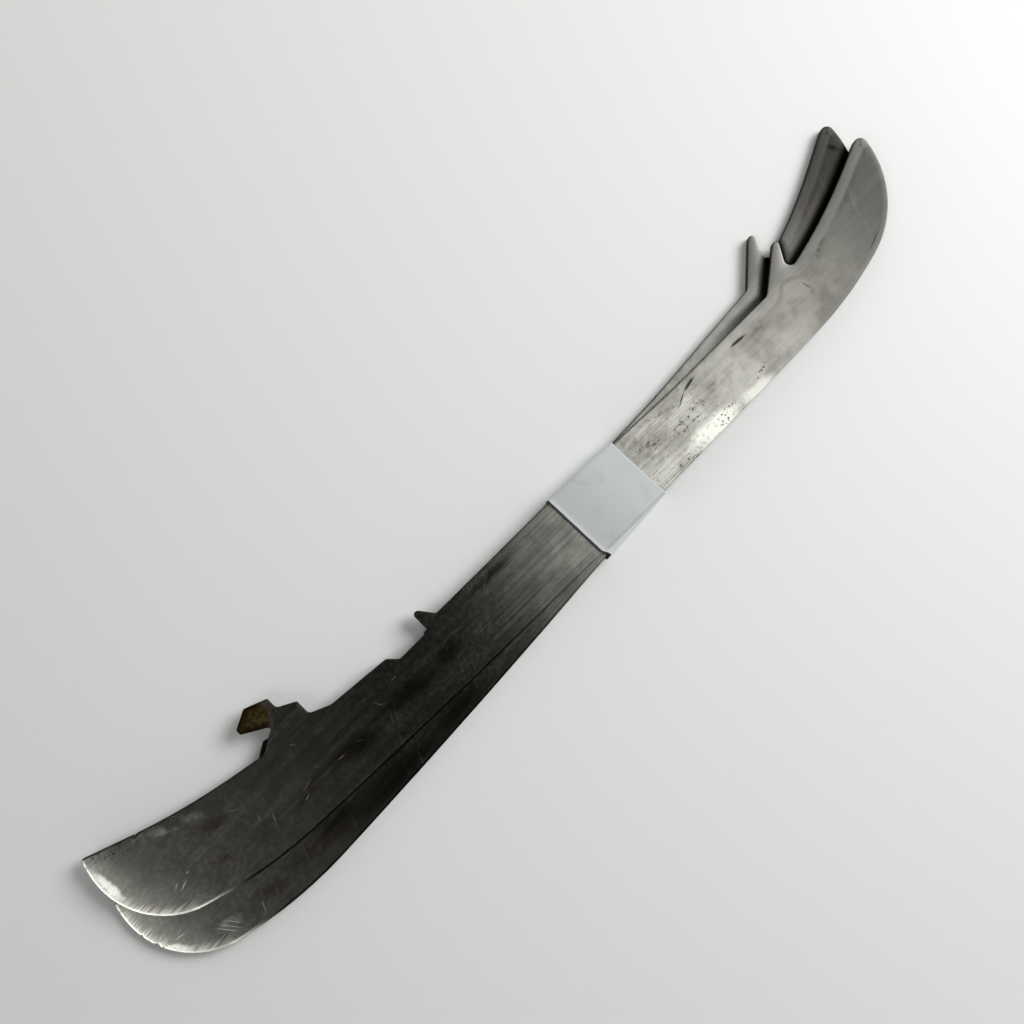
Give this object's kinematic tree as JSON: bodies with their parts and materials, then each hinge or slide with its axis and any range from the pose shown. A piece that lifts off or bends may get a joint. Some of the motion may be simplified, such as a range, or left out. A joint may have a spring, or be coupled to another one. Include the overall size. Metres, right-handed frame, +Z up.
{
  "type": "hockey skate blade pair",
  "caption": "Flat steel ice hockey skate runners with hooked tabs for a blade holder, stacked slightly fanned inside a loose paper label band.",
  "frame": {"origin": "middle of the label band's underside, on the surface that the pair lies on", "axes": "+X along the band's travel towards the toe ends, +Y towards the boot side with its hooks, +Z up through the stack"},
  "size_m": [0.2946, 0.0508, 0.0068],
  "materials": {
    "lower_steel": "lengthwise ground, darker and stained",
    "upper_steel": "lengthwise ground, worn and scratched",
    "band_paper": "smooth white coated paper"
  },
  "bodies": {
    "lower_runner": {"lower_runner": "lower_steel"},
    "upper_runner": {"upper_runner": "upper_steel"},
    "label_band": {"label_band": "band_paper"}
  },
  "joints": [
    {"name": "fan", "type": "hinge", "parent": "lower_runner", "child": "upper_runner", "pos_m": [0.0075, -0.01259, 0], "axis": [0, 0, 1], "range_deg": [0, 4.7]},
    {"name": "band_slide", "type": "slide", "parent": "lower_runner", "child": "label_band", "axis": [1, 0, 0], "range_m": [-0.004, 0.004]}
  ]
}
